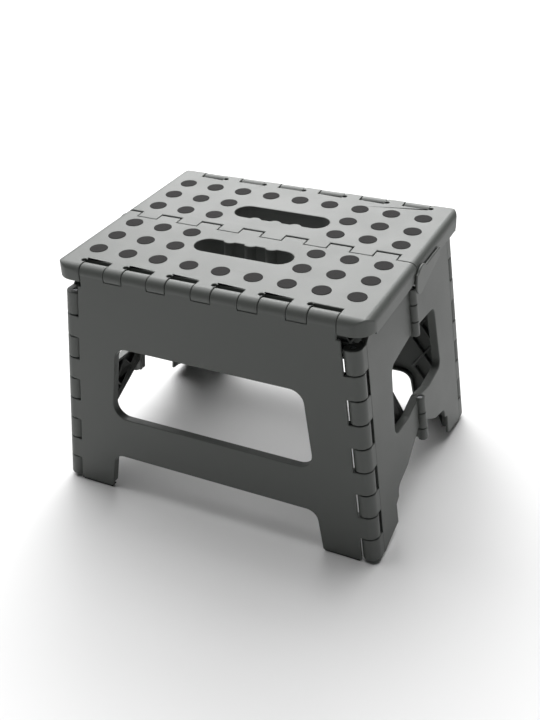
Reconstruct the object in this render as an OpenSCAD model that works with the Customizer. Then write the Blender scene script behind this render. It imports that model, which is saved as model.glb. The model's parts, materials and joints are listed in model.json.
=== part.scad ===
// Folding step stool. Two top panels meet on a centre hinge; two leg panels hang from the
// top's front and rear edges, and a pair of folding side panels joins the legs at each end.
// X is the stool's length, Y its depth, Z up. The origin is on the floor under the centre.

/* [Top] */
// Height of the standing surface above the floor
height = 227; // [224:1:236]
// Length of the top
top_length = 288; // [288:1:290]
// Overall depth of the top, across both edge hinges
top_depth = 230; // [229:1:232]
// Depth of the skirt round the top's ends
skirt_depth = 16.8; // [16:0.2:16.8]
// Thickness of the top plate
plate_t = 3; // [2.5:0.5:4]
// Plan radius of the top's four corners
corner_r = 17; // [16:1:24]
// Radius that rounds the top's outer edge
edge_r = 7; // [5:0.5:7]
// Depth of the centre hinge axis below the top surface
centre_drop = 17; // [17:0.5:17.5]

/* [Handle and grips] */
// Half distance between the end circles of a handle slot
slot_half = 34; // [32:0.5:35]
// Distance of a handle slot from the centre line
slot_y = 38; // [37:0.5:38.5]
// Radius of a slot's ends
slot_r = 12.2; // [11:0.1:12.5]
// Radius of the ridges between the finger scallops
ridge_r = 7; // [5:0.5:8]
// How far the ridges stand into the slot
ridge_in = 3; // [1:0.5:3.5]
// Diameter of one grip dot
dot_d = 16; // [12:0.5:18]
// Spacing of the grip dots along the length
dot_pitch = 30; // [28:0.5:30]
// How far a grip dot stands above the top
dot_proud = 0.4; // [0.2:0.1:1]

/* [Legs] */
// Outward lean of the leg panels
splay = 2; // [1.5:0.1:2.2]
// Spread of the corner hinges per unit of height
taper = 0.108; // [0.1:0.002:0.112]
// Thickness of a panel's skin
skin_t = 2.8; // [2:0.1:3]
// Depth of a panel with its rim and ribs
panel_d = 7.8; // [6.5:0.1:7.8]
// Thickness of the ribs
rib_t = 2; // [1.5:0.1:3]
// Thickness of the rubber foot pads
pad_t = 1; // [0.5:0.5:2]

/* [Hinges] */
// Radius of the top's edge hinge barrels
edge_barrel_r = 7.5; // [7:0.1:7.5]
// Radius of the corner hinge barrels
corner_barrel_r = 8; // [7:0.1:8]
// Radius of the middle hinge barrels of the side panels
mid_barrel_r = 4.6; // [4.5:0.1:4.8]
// Radius of the centre hinge barrels
centre_barrel_r = 6; // [5:0.1:6]
// Radius of every hinge pin
pin_r = 2; // [1.5:0.1:2.2]
// Running clearance between a pin and a turning barrel
run = 0.08; // [0.05:0.01:0.1]
// End gap between neighbouring barrels
gap = 0.3; // [0.2:0.05:0.5]

/* [Hidden] */
$fn = 64;
sliver = 0.01;

grey = [0.62, 0.63, 0.63];
rubber = [0.22, 0.21, 0.21];
steel = [0.75, 0.76, 0.78];

half_length = top_length / 2;
half_depth = top_depth / 2;
edge_axis_y = half_depth - edge_barrel_r;
edge_axis_z = height - edge_barrel_r;
lug_back = edge_axis_y - edge_barrel_r - 0.2;
wall_t = 3;

// Along the edge hinge, leg barrels and top lugs alternate
edge_pitch = 42;
barrel_x = [for (i = [-2.5 : 2.5]) i * edge_pitch];
barrel_w = 24;
lug_span = edge_pitch - barrel_w;
barrel_reach = 2.5 * edge_pitch + barrel_w / 2;

// Along the centre line the two halves' tongues alternate
tongue_w = 21;
tongue_gap = 0.5;
front_reach = 2;
rear_reach = 7;
front_floor = -7.3;
rear_floor = -4.2;
skirt_round = 14;
end_rib_x = 131;
ear_t = 2.2;
ear_gap = 0.3;
ear_r = 13;
// Nothing of one half comes this close to the centre line, except its tongues and barrels
centre_clear = 9.3;
// Extra room in the rear half's centre bores, where the closed linkage is opened
centre_slack = 1.3;
slack_y = 0.72;
slack_z = 0.85;

// Leg panel, in its own frame: origin on the edge hinge, z up the panel, y into the stool
leg_face = -7;
leg_inner = leg_face + panel_d;
corner_x = 126;
corner_y = 1;
leg_edge = 7;
rim_back = 11;
lean = atan(taper);
leg_floor = -(edge_axis_z - pad_t) / cos(splay);
leg_top = -4.1;
leg_shoulder = -12;
// Room that the leg leaves round the top's lugs
lug_clear = edge_barrel_r + 0.4;

// Side panel, in its own frame: origin midway between its corner hinges, x outward, z up
side_face = 8;
side_inner = side_face - panel_d + 0.1;
mid_out = 0.5;
mid_x = side_face + mid_out;
side_zero = edge_axis_z - corner_y * sin(splay);
side_y = edge_axis_y - corner_y * cos(splay);
side_tilt = atan(taper / cos(splay));
side_lean = atan(sin(splay) / sqrt(taper * taper + cos(splay) * cos(splay)));
meet = side_y / sin(splay) * sqrt(taper * taper + cos(splay) * cos(splay));
mid_lean = atan(mid_x / meet);
side_stretch = 1 / cos(side_tilt);

// Distances down the corner axis for its nine barrels
knuckles = 9;
corner_start = 19.6;
corner_end = 218.4;
knuckle_h = (corner_end - corner_start) / knuckles;

// Heights below the top of the middle hinges' barrels, as start and end
upper_mid = [28, 43, 59, 73];
lower_mid = [134, 150, 166, 178];

// A height below the top surface, turned into the side panel's own z
function side_z(drop) = -(drop - (height - side_zero)) * side_stretch;
// The same for a leg panel's own z
function leg_z(drop) = -(drop - edge_barrel_r) / cos(splay);

// Outward unit normal of a counter-clockwise outline's edge from a to b
function normal(a, b) = [b.y - a.y, a.x - b.x] / norm(b - a);

// Convex outline with round corners: circles of radius r on the points c, counter-clockwise
module rounded(c, r) {
    n = len(c);
    polygon([for (i = [0 : n - 1])
        each [c[i] + r * normal(c[(i + n - 1) % n], c[i]), c[i] + r * normal(c[i], c[(i + 1) % n])]]);
    for (p = c) translate(p) circle(r);
}

// Direction of an outline's edge normal from a to b, in degrees
function facing(a, b) = atan2(a.x - b.x, b.y - a.y);

// The same outline with each corner's arc in short straight steps, for windows with sloping sides
arc_steps = 8;
module stepped(c, r) {
    n = len(c);
    polygon([for (i = [0 : n - 1])
        let (first = facing(c[(i + n - 1) % n], c[i]), turn = (facing(c[i], c[(i + 1) % n]) - first + 720) % 360)
        for (k = [0 : arc_steps])
            c[i] + r * [cos(first + turn * k / arc_steps), sin(first + turn * k / arc_steps)]]);
}

module rounded_plate(hx, hy, r, h) {
    linear_extrude(h) rounded([[-hx + r, -hy + r], [hx - r, -hy + r], [hx - r, hy - r], [-hx + r, hy - r]], r);
}

// Cylinder along X from x0 to x1, on the line y, z
module along_x(x0, x1, y, z, r) {
    translate([x0, y, z]) rotate([0, 90, 0]) cylinder(r = r, h = x1 - x0);
}

module block(x0, x1, y0, y1, z0, z1) {
    translate([x0, y0, z0]) cube([x1 - x0, y1 - y0, z1 - z0]);
}

// ---- top panels: z = 0 is the standing surface, modelled as the front half ----

// Section of the top with a half width h and rounded upper corners
module top_section(h) {
    low = -skirt_depth - 10;
    rounded([[-h + edge_r, low], [h - edge_r, low], [h - edge_r, -edge_r], [-h + edge_r, -edge_r]], edge_r);
}

// The whole top's outer form, with a rounded upper edge
module top_form() {
    intersection() {
        translate([0, 0, -skirt_depth]) rounded_plate(half_length, half_depth, corner_r, skirt_depth);
        rotate([90, 0, 90]) linear_extrude(top_length + 2, center = true) top_section(half_depth);
        rotate([90, 0, 0]) linear_extrude(top_depth + 2, center = true) top_section(half_length);
    }
}

module tongue_columns(y0, y1, z0, z1) {
    block(-half_length - 1, -6 * tongue_w - tongue_gap / 2, y0, y1, z0, z1);
    for (i = [0 : 5]) {
        x = (2 * i - 5) * tongue_w;
        block(x + tongue_gap / 2, x + tongue_w - tongue_gap / 2, y0, y1, z0, z1);
    }
}

// Outline of a handle slot, with three ridges on its inner edge between the fingers
module slot_outline(grow) {
    difference() {
        rounded([[-slot_half, -slot_y], [slot_half, -slot_y]], slot_r + grow);
        for (i = [-1 : 1]) {
            translate([i * 20, -slot_y + slot_r + ridge_r - ridge_in]) circle(ridge_r - grow);
        }
    }
}

module dot_places() {
    for (row = [0 : 2], col = [-4 : 4]) {
        if (row == 2 || abs(col) > 1) {
            translate([col * dot_pitch, -20.8 - row * 28.9, 0]) children();
        }
    }
}

module top_shell(reach, floor_y) {
    difference() {
        intersection() {
            top_form();
            union() {
                block(-half_length - 1, half_length + 1, -half_depth - 1, floor_y, -skirt_depth - 1, 1);
                tongue_columns(floor_y - 1, reach, -skirt_depth - 1, 1);
            }
        }
        // Hollow underside
        translate([0, 0, -skirt_depth - 1])
            rounded_plate(half_length - wall_t, half_depth - wall_t, corner_r - wall_t,
                          skirt_depth - plate_t + 1);
        // Room for the leg's barrels along the edge
        block(-barrel_reach - gap, barrel_reach + gap, -half_depth - 1, -lug_back, -skirt_depth - 1, 1);
        // The end's lower corner rounds up to the centre hinge
        difference() {
            block(half_length - wall_t - 1, half_length + 1, floor_y - skirt_round, floor_y + 1,
                  -skirt_depth - 1, -skirt_depth + skirt_round);
            along_x(half_length - wall_t - 2, half_length + 2, floor_y - skirt_round,
                    -skirt_depth + skirt_round, skirt_round);
        }
        // The front corners' lower edge is shallower
        for (s = [-1, 1]) {
            x = s * (barrel_reach + half_length) / 2;
            block(x - 20, x + 20, -half_depth - 1, -edge_axis_y + 8, -skirt_depth - 1, -2 * edge_barrel_r);
        }
    }
}

module top_ribs(floor_y) {
    rib_floor = -skirt_depth + 2;
    roof = -plate_t + sliver;
    // Wall behind the leg's barrels
    block(-barrel_reach - wall_t, barrel_reach + wall_t, -lug_back, -lug_back + wall_t, -2 * edge_barrel_r, 0);
    for (s = [-1, 1]) {
        // Side wall of the end land, which closes the corner beside the last barrel
        x = s * (barrel_reach + gap + wall_t / 2);
        block(x - wall_t / 2, x + wall_t / 2, -half_depth + edge_r, -lug_back + wall_t, -2 * edge_barrel_r, roof);
        // Rib that rests on the side panels' upper edges
        block(s * end_rib_x - 1.5, s * end_rib_x + 1.5, -half_depth + 20, -centre_clear, -skirt_depth, roof);
    }
    // Ribs along the length, either side of the handle slot
    for (y = [-12.5, -66, -84]) {
        block(-half_length + 1, half_length - 1, y - rib_t / 2, y + rib_t / 2, rib_floor + 3, roof);
    }
    // Ribs across the depth
    for (s = [-1, 1], x = [54, 84, 112]) {
        block(s * x - rib_t / 2, s * x + rib_t / 2, -lug_back + 1, -12, rib_floor + 3, roof);
    }
    // Collar round the handle slot
    translate([0, 0, rib_floor]) linear_extrude(-rib_floor - 1) slot_outline(2.4);
}

// Lugs of the edge hinge, between the leg's barrels
module edge_lugs() {
    for (i = [-2 : 2]) {
        x0 = i * edge_pitch - lug_span / 2 + gap;
        x1 = i * edge_pitch + lug_span / 2 - gap;
        along_x(x0, x1, -edge_axis_y, -edge_barrel_r, edge_barrel_r);
        block(x0, x1, -edge_axis_y, -lug_back + 1, -2 * edge_barrel_r, 0);
    }
    for (s = [-1, 1]) {
        x = s * (barrel_reach + gap + 5);
        along_x(x - 5, x + 5, -edge_axis_y, -edge_barrel_r, edge_barrel_r);
    }
}

// Barrels of the centre hinge, each hung from its tongue by a leaf
module centre_barrels() {
    intersection() {
        union() {
            along_x(-half_length - ear_gap - sliver, half_length, 0, -centre_drop, centre_barrel_r);
            block(-half_length + wall_t - 1, half_length, -centre_barrel_r, -centre_barrel_r + 2.5,
                  -centre_drop, -plate_t + sliver);
        }
        tongue_columns(-20, 20, -60, 1);
    }
}

// Lobe at the end of the centre line, outside the other half's skirt
module ear() {
    x0 = -half_length - ear_gap - ear_t;
    translate([x0, 0, 0]) rotate([90, 0, 90]) linear_extrude(ear_t) {
        translate([0, -centre_drop]) circle(ear_r);
        polygon([[ear_r, -centre_drop], [ear_r, -8], [-46, -8], [-46, -skirt_depth],
                 [-5, -centre_drop - ear_r + 1.1]]);
    }
    // Joins the lobe to this half's own skirt
    block(x0 + 1, -half_length + 1, -44, -4, -skirt_depth + 1, -9);
}

module pin_bores(centre_r, centre_y, centre_z) {
    along_x(-half_length + 0.2, half_length - 0.2, centre_y, -centre_drop + centre_z, centre_r);
    along_x(-barrel_reach - 8, barrel_reach + 8, -edge_axis_y, -edge_barrel_r, pin_r + run);
}

module top_half(reach, floor_y, bore_r, bore_y, bore_z) {
    translate([0, 0, height]) difference() {
        union() {
            top_shell(reach, floor_y);
            top_ribs(floor_y);
            edge_lugs();
            centre_barrels();
            ear();
        }
        translate([0, 0, -skirt_depth - 1]) linear_extrude(skirt_depth + 2) slot_outline(0);
        dot_places() translate([0, 0, -0.8]) cylinder(d = dot_d, h = 2);
        pin_bores(bore_r, bore_y, bore_z);
        // Relief beside each leg barrel, at its left
        for (x = barrel_x) {
            translate([x - barrel_w / 2 - gap - 2, -lug_back - 2, -plate_t - 2]) cylinder(r = 2.2, h = 8);
        }
    }
}

module front_top_panel() {
    color(grey) top_half(front_reach, front_floor, pin_r + run / 2, 0, 0);
}

module rear_top_panel() {
    color(grey) rotate([0, 0, 180])
        top_half(rear_reach, rear_floor, pin_r + centre_slack, -slack_y, slack_z);
}

module grip_dots() {
    color(rubber) translate([0, 0, height - 0.8]) dot_places() cylinder(d = dot_d, h = 0.8 + dot_proud);
}

module front_grip_dots() { grip_dots(); }
module rear_grip_dots() { rotate([0, 0, 180]) grip_dots(); }

// ---- leg panels: in the leg's own frame, placed by leg_frame ----

module leg_frame() {
    translate([0, -edge_axis_y, edge_axis_z]) rotate([-splay, 0, 0]) children();
}

module corner_frame(s) {
    translate([s * corner_x, corner_y, 0]) rotate([0, -s * lean, 0]) children();
}

// Half width of the leg's face at its own height z
function leg_half(z) = corner_x - leg_edge - taper * z;

module leg_outline(inset) {
    top = leg_top - inset;
    low = leg_floor + inset;
    polygon([[-leg_half(low) + inset, low], [leg_half(low) - inset, low],
             [leg_half(leg_shoulder) - inset, leg_shoulder - inset],
             [barrel_reach - inset, leg_shoulder - inset], [barrel_reach - inset, top],
             [-barrel_reach + inset, top], [-barrel_reach + inset, leg_shoulder - inset],
             [-leg_half(leg_shoulder) + inset, leg_shoulder - inset]]);
}

window_r = 13;
module leg_window(grow) {
    stepped([[-83.5, leg_z(133)], [83.5, leg_z(133)], [77, leg_z(86)], [-77, leg_z(86)]], window_r + grow);
}

arch_r = 11;
module leg_arch(grow) {
    stepped([[-101, leg_floor - 30], [101, leg_floor - 30], [91.5, leg_z(199)], [-91.5, leg_z(199)]],
            arch_r + grow);
}

// A straight rib in the plane of a panel, from a to b
module rib(a, b, depth) {
    d = b - a;
    translate([a.x, a.y, 0]) rotate([0, 0, atan2(d.y, d.x)])
        translate([0, -rib_t / 2, 0]) cube([norm(d), rib_t, depth]);
}

module cross(x0, x1, y0, y1, depth) {
    rib([x0, y0], [x1, y1], depth);
    rib([x0, y1], [x1, y0], depth);
}

// Upright panel plane: x stays, the outline's y becomes z, and depth runs from y0 into the stool
module upright(y0) {
    translate([0, y0, 0]) mirror([0, 1, 0]) rotate([90, 0, 0]) children();
}

module leg_lattice() {
    cell = 2 * (leg_half(0) - rim_back) / 8;
    for (i = [0 : 7]) {
        x = (i - 4) * cell;
        cross(x, x + cell, leg_z(24), leg_z(70), panel_d - 1);
    }
    for (i = [1 : 6]) {
        x = (i - 4) * cell * 0.9;
        cross(x, x + cell * 0.9, leg_z(149), leg_z(184), panel_d - 1);
    }
    for (s = [-1, 1], i = [0 : 3]) {
        z = -70 - i * 34;
        cross(s * (leg_half(z - 34) - rim_back), s * (leg_half(z) - rim_back - 20), z, z - 34, panel_d - 1);
    }
}

module leg_barrels() {
    for (x = barrel_x) {
        along_x(x - barrel_w / 2, x + barrel_w / 2, 0, 0, edge_barrel_r - 0.2);
        block(x - barrel_w / 2, x + barrel_w / 2, leg_face, leg_inner, leg_top - 6, 0);
    }
}

module leg_knuckles() {
    for (s = [-1, 1]) {
        corner_frame(s) for (i = [1 : 2 : knuckles - 2]) {
            z = -corner_start - (i + 1) * knuckle_h + gap;
            translate([0, 0, z]) cylinder(r = corner_barrel_r, h = knuckle_h - 2 * gap);
            x0 = s > 0 ? -leg_edge - 5 : 0;
            block(x0, x0 + leg_edge + 5, leg_face - corner_y, leg_inner - corner_y,
                  z, z + knuckle_h - 2 * gap);
        }
    }
}

module leg_panel() {
    leg_frame() difference() {
        union() {
            upright(leg_face) linear_extrude(skin_t) leg_outline(0);
            upright(leg_face) linear_extrude(panel_d) difference() {
                leg_outline(rim_back - leg_edge);
                difference() {
                    leg_outline(rim_back - leg_edge + 2.5);
                    leg_window(2.5);
                    leg_arch(2.5);
                }
            }
            upright(leg_face) intersection() {
                leg_lattice();
                linear_extrude(panel_d) leg_outline(rim_back - leg_edge + 1);
            }
            leg_barrels();
            leg_knuckles();
        }
        upright(leg_face - 1) linear_extrude(panel_d + 2) leg_window(0);
        upright(leg_face - 1) linear_extrude(panel_d + 2) leg_arch(0);
        along_x(-barrel_reach - 1, barrel_reach + 1, 0, 0, pin_r + run / 2);
        // The upper edge is hollowed round each lug
        for (i = [-2 : 2]) {
            x = i * edge_pitch;
            along_x(x - lug_span / 2, x + lug_span / 2, 0, 0, lug_clear);
        }
        for (s = [-1, 1]) {
            corner_frame(s) translate([0, 0, -corner_end]) cylinder(r = pin_r + run / 2, h = 230);
        }
        // Feet cut level with the floor pads
        rotate([splay, 0, 0]) block(-200, 200, -60, 60, -edge_axis_z - 60, -edge_axis_z + pad_t);
    }
}

module front_leg_panel() { color(grey) leg_panel(); }
module rear_leg_panel() { color(grey) rotate([0, 0, 180]) leg_panel(); }

module foot_pads() {
    foot_y = -edge_axis_y - sin(splay) * edge_axis_z;
    for (s = [-1, 1]) {
        x = s * (leg_half(leg_floor) - 18);
        color(rubber) block(x - 16, x + 16, foot_y + leg_face + 0.6, foot_y + leg_inner - 0.8, 0, pad_t);
    }
}

module front_foot_pads() { foot_pads(); }
module rear_foot_pads() { rotate([0, 0, 180]) foot_pads(); }

// ---- side panels: in the side's own frame, modelled as the front half ----

module side_frame() {
    translate([corner_x, 0, side_zero]) rotate([0, -side_tilt, 0]) children();
}

module side_corner_frame() {
    translate([0, -side_y, 0]) rotate([-side_lean, 0, 0]) children();
}

module mid_frame() {
    translate([mid_x, 0, 0]) rotate([0, -mid_lean, 0]) children();
}

// Front edge of the side's face at its own height z
function side_front(z) = -side_y + leg_edge + tan(side_lean) * z;

// The upper edge just clears the top's end ribs, and drops under the centre hinge
side_top = (height - skirt_depth - 0.2 - side_zero - side_face * sin(side_tilt)) / cos(side_tilt);
side_dip = side_z(26.5);
side_shoulder = side_z(27);
foot_low = side_z(225);

module side_outline(inset) {
    polygon([[side_front(foot_low) + inset, foot_low + inset], [-71 - inset, side_z(219) + inset],
             [-71 - inset, side_z(200)], [-gap - inset, side_z(160)], [-gap - inset, side_dip - inset],
             [-12 - inset, side_dip - inset], [-16 - inset, side_top - inset], [-86, side_top - inset],
             [side_front(side_shoulder) + inset, side_shoulder - inset]]);
}

module side_window(grow) {
    stepped([[-52, side_z(130)], [-27, side_z(131.5)], [14, side_z(123)], [14, side_z(75)],
             [-47, side_z(81)]], 8 + grow);
}

module side_arch(grow) {
    stepped([[-63, side_z(260)], [30, side_z(260)], [30, side_z(182)], [-8, side_z(182)],
             [-57, side_z(193)]], 7 + grow);
}

// Side outline's plane: the outline's x is the panel's y and its y is z; depth runs inward
module side_upright(x1, depth) {
    translate([x1 - depth, 0, 0]) rotate([90, 0, 90]) linear_extrude(depth) children();
}

module side_lattice() {
    translate([side_inner, 0, 0]) rotate([90, 0, 90]) {
        for (i = [0 : 4]) {
            z = side_z(34) - i * 36;
            cross(side_front(z) + 4, -62, z, z - 36, panel_d - 1);
        }
        for (i = [0 : 1]) {
            cross(-64 + i * 30, -34 + i * 30, side_z(22), side_z(64), panel_d - 1);
            cross(-64 + i * 30, -34 + i * 30, side_z(143), side_z(178), panel_d - 1);
        }
    }
}

// One barrel of the middle hinge between two heights
module mid_knuckle(drop0, drop1) {
    h = (drop1 - drop0) * side_stretch - gap;
    mid_frame() translate([0, 0, side_z(drop1) + gap / 2]) cylinder(r = mid_barrel_r, h = h);
}

module mid_relief(drop0, drop1) {
    mid_frame() translate([0, 0, side_z(drop1) - gap / 2])
        cylinder(r = mid_barrel_r + 0.8, h = (drop1 - drop0) * side_stretch + gap);
}

// Room in the panel's edge for a whole hinge, a little smaller than its barrels
module mid_channel(drop0, drop1) {
    mid_frame() translate([0, 0, side_z(drop1) - 3])
        cylinder(r = mid_barrel_r - 0.4, h = (drop1 - drop0) * side_stretch + 6);
}

// outer = true gives the half with the two outer barrels of each middle hinge
module side_half(outer, mid_bore) {
    difference() {
        union() {
            difference() {
                union() {
                    side_upright(side_face, skin_t) side_outline(0);
                    side_upright(side_face, side_face - side_inner) difference() {
                        side_outline(rim_back - leg_edge);
                        difference() {
                            side_outline(rim_back - leg_edge + 2.5);
                            side_window(2.5);
                            side_arch(2.5);
                        }
                    }
                    side_upright(side_face, side_face - side_inner)
                        translate([-gap - 4, side_z(176)]) square([4, side_dip - side_z(176)]);
                    intersection() {
                        side_lattice();
                        side_upright(side_face, side_face - side_inner) side_outline(rim_back - leg_edge + 1);
                    }
                }
                side_upright(side_face + 1, panel_d + 2) side_window(0);
                side_upright(side_face + 1, panel_d + 2) side_arch(0);
                for (m = [upper_mid, lower_mid]) {
                    if (outer) {
                        mid_relief(m[1], m[2]);
                    } else {
                        mid_relief(m[0], m[1]);
                        mid_relief(m[2], m[3]);
                    }
                    mid_channel(m[0], m[3]);
                }
            }
            for (m = [upper_mid, lower_mid]) {
                if (outer) {
                    mid_knuckle(m[0], m[1]);
                    mid_knuckle(m[2], m[3]);
                } else {
                    mid_knuckle(m[1], m[2]);
                }
            }
            side_corner_frame() for (i = [0 : 2 : knuckles - 1]) {
                z = -corner_start - (i + 1) * knuckle_h + gap;
                translate([0, 0, z]) cylinder(r = corner_barrel_r, h = knuckle_h - 2 * gap);
                block(side_inner + 0.2, side_face - 0.1, 0, leg_edge + 5, z, z + knuckle_h - 2 * gap);
            }
        }
        side_corner_frame() translate([0, 0, -corner_end - 5]) cylinder(r = pin_r + run, h = 230);
        for (m = [upper_mid, lower_mid]) {
            h = (m[3] - m[0]) * side_stretch + 4;
            mid_frame() translate([0, 0, side_z(m[3]) - 2]) cylinder(r = mid_bore, h = h);
        }
    }
}

tight_bore = pin_r + run / 2;
// The right front half's middle bores have room, because the closed linkage is opened there
loose_bore = pin_r + 0.35;

module front_half(bore) { side_frame() side_half(true, bore); }
module rear_half() { side_frame() mirror([0, 1, 0]) side_half(false, tight_bore); }
module right_front_side_panel() { color(grey) front_half(loose_bore); }
module right_rear_side_panel() { color(grey) rear_half(); }
module left_front_side_panel() { color(grey) rotate([0, 0, 180]) rear_half(); }
module left_rear_side_panel() { color(grey) rotate([0, 0, 180]) front_half(pin_r + run); }

// ---- pins ----

module centre_hinge_pin() {
    color(steel) along_x(-half_length + 0.5, half_length - 0.5, 0, height - centre_drop, pin_r);
}

module edge_pin() {
    color(steel) along_x(-barrel_reach - 7, barrel_reach + 7, -edge_axis_y, edge_axis_z, pin_r);
}
module front_edge_hinge_pin() { edge_pin(); }
module rear_edge_hinge_pin() { rotate([0, 0, 180]) edge_pin(); }

module corner_pin(s) {
    color(steel) leg_frame() corner_frame(s)
        translate([0, 0, -corner_end + 1]) cylinder(r = pin_r, h = corner_end - corner_start - 2);
}
module front_right_corner_pin() { corner_pin(1); }
module front_left_corner_pin() { corner_pin(-1); }
module rear_right_corner_pin() { rotate([0, 0, 180]) corner_pin(-1); }
module rear_left_corner_pin() { rotate([0, 0, 180]) corner_pin(1); }

module mid_pin(drops) {
    h = (drops[3] - drops[0]) * side_stretch - 2;
    color(steel) side_frame() mid_frame() translate([0, 0, side_z(drops[3]) + 1]) cylinder(r = pin_r, h = h);
}
module right_upper_middle_pin() { mid_pin(upper_mid); }
module right_lower_middle_pin() { mid_pin(lower_mid); }
module left_upper_middle_pin() { rotate([0, 0, 180]) mid_pin(upper_mid); }
module left_lower_middle_pin() { rotate([0, 0, 180]) mid_pin(lower_mid); }

front_top_panel();
rear_top_panel();
front_leg_panel();
rear_leg_panel();
right_front_side_panel();
right_rear_side_panel();
left_front_side_panel();
left_rear_side_panel();
centre_hinge_pin();
front_edge_hinge_pin();
rear_edge_hinge_pin();
front_right_corner_pin();
front_left_corner_pin();
rear_right_corner_pin();
rear_left_corner_pin();
right_upper_middle_pin();
right_lower_middle_pin();
left_upper_middle_pin();
left_lower_middle_pin();
front_grip_dots();
rear_grip_dots();
front_foot_pads();
rear_foot_pads();
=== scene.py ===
# %% [markdown]
# # A folding step stool
#
# The stool is eight plastic mouldings on steel pins, with rubber dots set into its top. The imported frame already
# holds every moulding at its right size. What it lacks is what a mould gives for free: rounded edges, a fine
# matte grain, and rubber that looks soft beside hard plastic. This file adds those, one kind of piece at a time.
# It begins by loading the frame.

# %% Load the frame
import bpy
import bmesh
import json
import math
from mathutils import Matrix, Vector


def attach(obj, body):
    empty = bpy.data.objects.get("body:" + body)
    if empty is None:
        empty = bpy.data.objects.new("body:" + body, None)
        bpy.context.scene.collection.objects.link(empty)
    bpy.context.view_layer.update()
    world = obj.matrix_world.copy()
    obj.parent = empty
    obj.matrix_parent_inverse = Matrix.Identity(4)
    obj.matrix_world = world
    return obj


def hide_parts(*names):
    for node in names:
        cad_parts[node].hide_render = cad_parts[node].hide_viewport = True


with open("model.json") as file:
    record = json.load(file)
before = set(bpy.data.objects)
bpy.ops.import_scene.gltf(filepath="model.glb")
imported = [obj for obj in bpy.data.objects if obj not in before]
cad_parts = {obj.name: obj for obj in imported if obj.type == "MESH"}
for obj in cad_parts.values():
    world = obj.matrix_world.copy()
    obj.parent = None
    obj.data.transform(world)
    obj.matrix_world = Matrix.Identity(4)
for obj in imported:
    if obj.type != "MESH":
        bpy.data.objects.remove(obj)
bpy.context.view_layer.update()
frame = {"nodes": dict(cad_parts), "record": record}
NODES = frame["nodes"]
BODY_OF = {n: body for body, members in frame["record"]["behaviour"]["bodies"].items() for n in members}
MM = 0.001
scene = bpy.context.scene

# %% [markdown]
# ## The camera
#
# The stool is seen from a little above and to the right of its front. A camera is placed by where it stands and
# the direction in which it looks. Three turns give that direction: round the upright axis, down from the horizon,
# and a slight roll. The lens's shift moves the picture without turning the camera.

# %% Camera
CAMERA_PLACE = Vector((376.5, -729.0, 604.5)) * MM
AZIMUTH = 28.474
ELEVATION = 30.518
ROLL = -3.19
LENS = 51.21
LENS_SHIFT = (0.028, -0.030)

camera_data = bpy.data.cameras.new("camera")
camera = bpy.data.objects.new("camera", camera_data)
scene.collection.objects.link(camera)
scene.camera = camera
camera_data.lens = LENS
camera_data.shift_x, camera_data.shift_y = LENS_SHIFT
azimuth, elevation = math.radians(AZIMUTH), math.radians(ELEVATION)
forward = Vector((
    -math.sin(azimuth) * math.cos(elevation),
    math.cos(azimuth) * math.cos(elevation),
    -math.sin(elevation),
))
level = forward.to_track_quat("-Z", "Y").to_matrix()
roll = Matrix.Rotation(math.radians(ROLL), 3, "Z")
camera.rotation_mode = "QUATERNION"
camera.rotation_quaternion = (level @ roll).to_quaternion()
camera.location = CAMERA_PLACE
print("camera", LENS, "mm lens at", tuple(round(v, 3) for v in CAMERA_PLACE))

# %% [markdown]
# ## Floor
#
# The stool stands on a plain pale sheet, which one flat square makes. The Standard view transform keeps the pale
# floor pale.

# %% Floor
FLOOR_SIZE = 8.0
scene.view_settings.view_transform = "Standard"

floor_mesh = bpy.data.meshes.new("floor")
bm = bmesh.new()
bmesh.ops.create_grid(bm, x_segments=1, y_segments=1, size=FLOOR_SIZE / 2)
bm.to_mesh(floor_mesh)
bm.free()
floor = bpy.data.objects.new("floor", floor_mesh)
scene.collection.objects.link(floor)
print("floor:", FLOOR_SIZE, "m square")

# %% [markdown]
# ## Light
#
# Very soft light from above and behind suits matte plastic: the top comes out light, and the upright panels stay
# dark and evenly shaded. A sun lamp with a wide disc lights the whole floor alike, which an area lamp can't do.
# A square panel behind the stool adds the sheen on its top, and a low world light fills the shadows.

# %% Lights
SKY_SPREAD = 75
SKY_STRENGTH = 4.2
SKY_TILT = (-26, -20, 0)
PANEL_PLACE = Vector((-0.7, 1.9, 1.3))
PANEL_TARGET = Vector((0, 0, 0.12))
PANEL_SIZE = 1.6
PANEL_POWER = 36
FILL_STRENGTH = 0.06


def add_light(name, kind, power):
    data = bpy.data.lights.new(name, kind)
    data.energy = power
    light = bpy.data.objects.new(name, data)
    scene.collection.objects.link(light)
    return light


panel = add_light("sheen_panel", "AREA", PANEL_POWER)
panel.data.shape = "SQUARE"
panel.data.size = PANEL_SIZE
panel.location = PANEL_PLACE
panel.rotation_mode = "QUATERNION"
panel.rotation_quaternion = (PANEL_TARGET - PANEL_PLACE).to_track_quat("-Z", "Y")

sky = add_light("overhead", "SUN", SKY_STRENGTH)
sky.data.angle = math.radians(SKY_SPREAD)
sky.rotation_mode = "XYZ"
sky.rotation_euler = [math.radians(turn) for turn in SKY_TILT]

world = bpy.data.worlds.new("studio")
scene.world = world
world.use_nodes = True
background = world.node_tree.nodes["Background"]
background.inputs["Color"].default_value = (1, 1, 1, 1)
background.inputs["Strength"].default_value = FILL_STRENGTH

# %% [markdown]
# ## Writing shader maths as expressions
#
# A material is a graph of nodes. Wiring it by hand hides the idea, so a small class wraps one output socket and
# lets `a * b + c` add the Math nodes. Every other node comes from one method that takes its type and its inputs.

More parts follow.
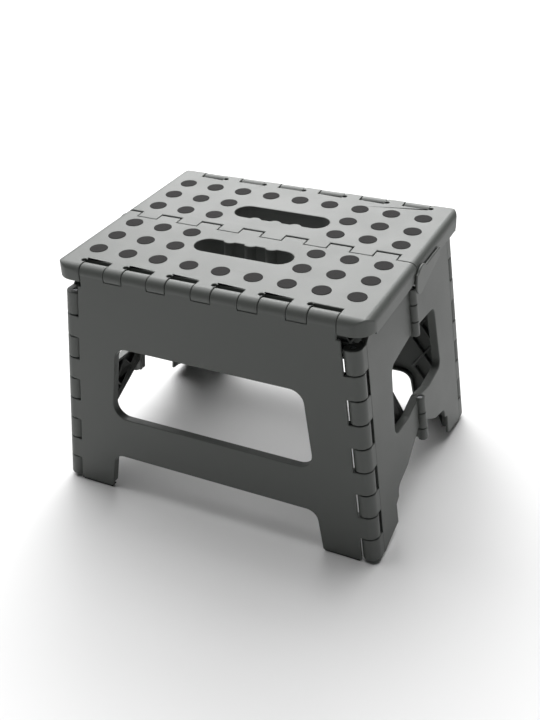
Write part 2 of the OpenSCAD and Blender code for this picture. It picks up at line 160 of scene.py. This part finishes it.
# %% A wrapped socket
class Wire:
    """One output socket of a material, with arithmetic that adds Math nodes."""

    def __init__(self, tree, socket):
        self.tree = tree
        self.socket = socket

    def node(self, kind, out=0, settings=None, **sockets):
        """A new node of a kind. A socket is named, or is i and its number where names repeat."""
        made = self.tree.nodes.new(kind)
        for key, value in (settings or {}).items():
            setattr(made, key, value)
        for key, value in sockets.items():
            numbered = key[0] == "i" and key[1:].isdigit()
            socket = made.inputs[int(key[1:]) if numbered else key]
            if isinstance(value, Wire):
                self.tree.links.new(value.socket, socket)
            else:
                socket.default_value = value
        return Wire(self.tree, made.outputs[out])

    def maths(self, operation, other=0.0):
        return self.node("ShaderNodeMath", settings={"operation": operation}, i0=self, i1=other)

    def __add__(self, other):
        return self.maths("ADD", other)

    __radd__ = __add__

    def __mul__(self, other):
        return self.maths("MULTIPLY", other)

    __rmul__ = __mul__

    def __sub__(self, other):
        return self.maths("SUBTRACT", other)

    def __rsub__(self, other):
        return (self * -1.0) + other


def new_material(name):
    """An empty material: its Principled shader, and a wire of Object coordinates to start from."""
    material = bpy.data.materials.new(name)
    material.use_nodes = True
    tree = material.node_tree
    shader = tree.nodes["Principled BSDF"]
    coordinates = tree.nodes.new("ShaderNodeTexCoord")
    return material, shader, Wire(tree, coordinates.outputs["Object"])


def tinted(colour, shade):
    """A colour made lighter and darker by a shade that varies over the surface."""
    return shade.node(
        "ShaderNodeMix", out=2, settings={"data_type": "RGBA", "blend_type": "MULTIPLY"},
        i0=1.0, i6=(*colour, 1.0), i7=shade,
    )


def plug(wire, shader, name):
    wire.tree.links.new(wire.socket, shader.inputs[name])


# %% [markdown]
# ## Moulded plastic
#
# The body is one grey-green polypropylene. Its mould was spark-eroded, which leaves a fine grain that scatters
# light. Two noises do that: a fine one for the grain, and a broad one for the slight clouding that handling
# leaves. Both change the roughness and, very slightly, the colour. The fine one also drives a shallow bump.

# %% Plastic
GREY_GREEN = (0.098, 0.105, 0.098)
GRAIN_SCALE = 2600.0
GRAIN_DEPTH = 0.12 * MM
CLOUD_SCALE = 26.0
PLASTIC_SPECULAR = 0.42


def plastic(name, colour):
    material, shader, place = new_material(name)
    grain = place.node("ShaderNodeTexNoise", Vector=place, Scale=GRAIN_SCALE, Detail=3.0, Roughness=0.6)
    cloud = place.node("ShaderNodeTexNoise", Vector=place, Scale=CLOUD_SCALE, Detail=4.0, Roughness=0.55)
    plug(tinted(colour, grain * 0.10 + cloud * 0.10 + 0.90), shader, "Base Color")
    plug(grain * 0.16 + cloud * 0.14 + 0.34, shader, "Roughness")
    bump = place.node("ShaderNodeBump", Height=grain, Strength=0.30, Distance=GRAIN_DEPTH)
    plug(bump, shader, "Normal")
    shader.inputs["Specular IOR Level"].default_value = PLASTIC_SPECULAR
    return material


PLASTIC = plastic("moulded_plastic", GREY_GREEN)
print("plastic:", len(PLASTIC.node_tree.nodes), "nodes")

# %% [markdown]
# ## Rubber
#
# The dots are soft rubber with a fine cross-hatched face. Two waves at right angles make the hatch, and their
# product raises small pips. The hatch is much shallower than the dot is thick, so it is left to the bump.

# %% Rubber
DARK_RUBBER = (0.026, 0.025, 0.025)
HATCH_PITCH = 1.1 * MM
PIP_HEIGHT = 0.18 * MM
DUST_SCALE = 420.0
RUBBER_SPECULAR = 0.16


def rubber(name, colour):
    material, shader, place = new_material(name)
    turns = 2 * math.pi / HATCH_PITCH
    parts = place.node("ShaderNodeSeparateXYZ", Vector=place)
    across = Wire(place.tree, parts.socket.node.outputs[1])
    first = ((parts + across) * turns).maths("SINE")
    second = ((parts - across) * turns).maths("SINE")
    pips = first * second * 0.5 + 0.5
    dust = place.node("ShaderNodeTexNoise", Vector=place, Scale=DUST_SCALE, Detail=5.0, Roughness=0.65)
    plug(tinted(colour, dust * 0.35 + pips * 0.12 + 0.72), shader, "Base Color")
    plug(dust * 0.12 + pips * -0.06 + 0.84, shader, "Roughness")
    bump = place.node("ShaderNodeBump", Height=pips, Strength=0.5, Distance=PIP_HEIGHT)
    plug(bump, shader, "Normal")
    shader.inputs["Specular IOR Level"].default_value = RUBBER_SPECULAR
    return material


RUBBER = rubber("soft_rubber", DARK_RUBBER)
print("rubber:", len(RUBBER.node_tree.nodes), "nodes")

# %% [markdown]
# ## Steel
#
# The pins are bright drawn wire, and nearly all of each one is inside its barrels. Only its fine surface marks
# have to show, so one noise varies the roughness, and nothing else changes over the surface.

# %% Steel
BRIGHT_STEEL = (0.55, 0.56, 0.58, 1)
MARK_SCALE = 900.0


def steel(name):
    material, shader, place = new_material(name)
    marks = place.node("ShaderNodeTexNoise", Vector=place, Scale=MARK_SCALE, Detail=4.0, Roughness=0.7)
    plug(marks * 0.25 + 0.22, shader, "Roughness")
    shader.inputs["Base Color"].default_value = BRIGHT_STEEL
    shader.inputs["Metallic"].default_value = 1.0
    return material


STEEL = steel("pin_steel")
print("steel:", len(STEEL.node_tree.nodes), "nodes")

# %% [markdown]
# ## Rounding a moulding's edges
#
# A mould can't make a knife edge, so every corner of a moulding has a small radius, and that radius is what
# catches the light. The frame's meshes are loose triangles with sharp corners. A copy is merged, its flat
# triangles are joined into whole faces, and its outward edges are bevelled. Edges beside a face too narrow for
# the radius are left, because a bevel there would fold over itself.

# %% A clean copy of a CAD piece
FLAT = math.radians(0.6)
MERGE = 0.002 * MM


def merged_copy(node):
    """A bmesh of a CAD node's shape with its doubles merged and its flat triangles joined."""
    bm = bmesh.new()
    bm.from_mesh(NODES[node].data)
    bmesh.ops.remove_doubles(bm, verts=bm.verts, dist=MERGE)
    bmesh.ops.dissolve_degenerate(bm, edges=bm.edges, dist=MERGE)
    bmesh.ops.dissolve_limit(bm, angle_limit=FLAT, verts=bm.verts, edges=bm.edges)
    return bm


# %% [markdown]
# ## Which edges to round
#
# A bevel needs room for its radius on both of an edge's faces. A face's area divided by the edge's length tells
# how far it reaches from that edge. Inward corners are left sharp, because a mould's inner corners hardly show.

# %% Rounding
SHARP = math.radians(34)
ROOM = 1.3


def breadth(face, edge):
    """How far a face reaches away from one of its edges, on average."""
    return face.calc_area() / max(edge.calc_length(), 1e-9)


def outward_edges(bm, radius):
    """The convex, sharp edges that have room for the radius on both sides."""
    found = []
    for edge in bm.edges:
        if len(edge.link_faces) != 2 or edge.calc_face_angle_signed(0) < SHARP:
            continue
        if all(breadth(face, edge) > radius * ROOM for face in edge.link_faces):
            found.append(edge)
    return found


def round_edges(bm, radius, segments=2):
    edges = outward_edges(bm, radius)
    bmesh.ops.bevel(
        bm, geom=edges, offset=radius, offset_type="OFFSET", segments=segments, profile=0.5,
        affect="EDGES", clamp_overlap=False, material=-1,
    )
    return len(edges)


# %% [markdown]
# ## Putting a piece in its node's place
#
# A finished piece hides its CAD node and rides on the same body. Its faces are smooth, so that the coarse facets
# of a barrel don't show, and weighted normals keep the flat faces flat beside their bevels.

# %% Finishing
SEAM_ANGLE = math.radians(38)


def finish_piece(bm, name, node, material):
    """Makes the object, smooth but with its flat faces kept flat, in the place of its CAD node."""
    for face in bm.faces:
        face.smooth = True
        face.material_index = 0
    mesh = bpy.data.meshes.new(name)
    bm.to_mesh(mesh)
    bm.free()
    mesh.materials.append(material)
    mesh.set_sharp_from_angle(angle=SEAM_ANGLE)
    piece = bpy.data.objects.new(name, mesh)
    scene.collection.objects.link(piece)
    weighted = piece.modifiers.new("flat faces stay flat", "WEIGHTED_NORMAL")
    weighted.keep_sharp = True
    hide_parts(node)
    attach(piece, BODY_OF[node])
    print(name, len(mesh.polygons), "faces")


# %% [markdown]
# ## The leg and side panels
#
# Each panel is an injection moulding: a skin with a rim, ribs, hinge barrels along its edges and a window. The
# radius is what a moulding's outer corners have, and it leaves the top of a thin rib almost fully round.

# %% Panels
MOULD_RADIUS = 0.9 * MM
PANELS = [n for n in NODES if n.endswith("leg_panel") or n.endswith("side_panel")]


def mould(node):
    bm = merged_copy(node)
    rounded = round_edges(bm, MOULD_RADIUS)
    finish_piece(bm, node + "_moulding", node, PLASTIC)
    print("  edges rounded:", rounded)


for node in sorted(PANELS):
    mould(node)

# %% [markdown]
# ## The top
#
# The two halves together look like one soft-cornered slab. The large rounding of its upper edge is in the frame
# already, so the slots, tongues and lugs only need the same small radius as the panels.

# %% Top halves
for node in ("front_top_panel", "rear_top_panel"):
    mould(node)

# %% [markdown]
# ## Grip dots and foot pads
#
# A dot is a low disc with a soft shoulder. The discs come from the frame, so they sit exactly in their pockets,
# and one wide bevel turns each shoulder. The pads under the feet are made in the same way.

# %% Rubber pieces
DOT_SHOULDER = 0.35 * MM

for node in ("front_grip_dots", "rear_grip_dots", "front_foot_pads", "rear_foot_pads"):
    bm = merged_copy(node)
    round_edges(bm, DOT_SHOULDER, segments=3)
    finish_piece(bm, node + "_rubber", node, RUBBER)

# %% [markdown]
# ## Pins
#
# A pin is a plain round wire with nothing to add, so the frame's own shape stays and only takes the steel.

# %% Pins
for name, node in NODES.items():
    if name.endswith("_pin"):
        node.data.materials.clear()
        node.data.materials.append(STEEL)
print("pins:", sum(name.endswith("_pin") for name in NODES))

# %% [markdown]
# ## Floor finish
#
# The floor is a plain pale sheet with almost no gloss, so that the stool's shadow is all it shows.

# %% Floor material
PALE = (0.8, 0.8, 0.8, 1)
FIBRE_SCALE = 60.0

paper, paper_shader, paper_place = new_material("pale_floor")
fibre = paper_place.node("ShaderNodeTexNoise", Vector=paper_place, Scale=FIBRE_SCALE, Detail=3.0)
plug(fibre * 0.1 + 0.75, paper_shader, "Roughness")
paper_shader.inputs["Base Color"].default_value = PALE
floor.data.materials.append(paper)
print("floor finish:", paper.name)
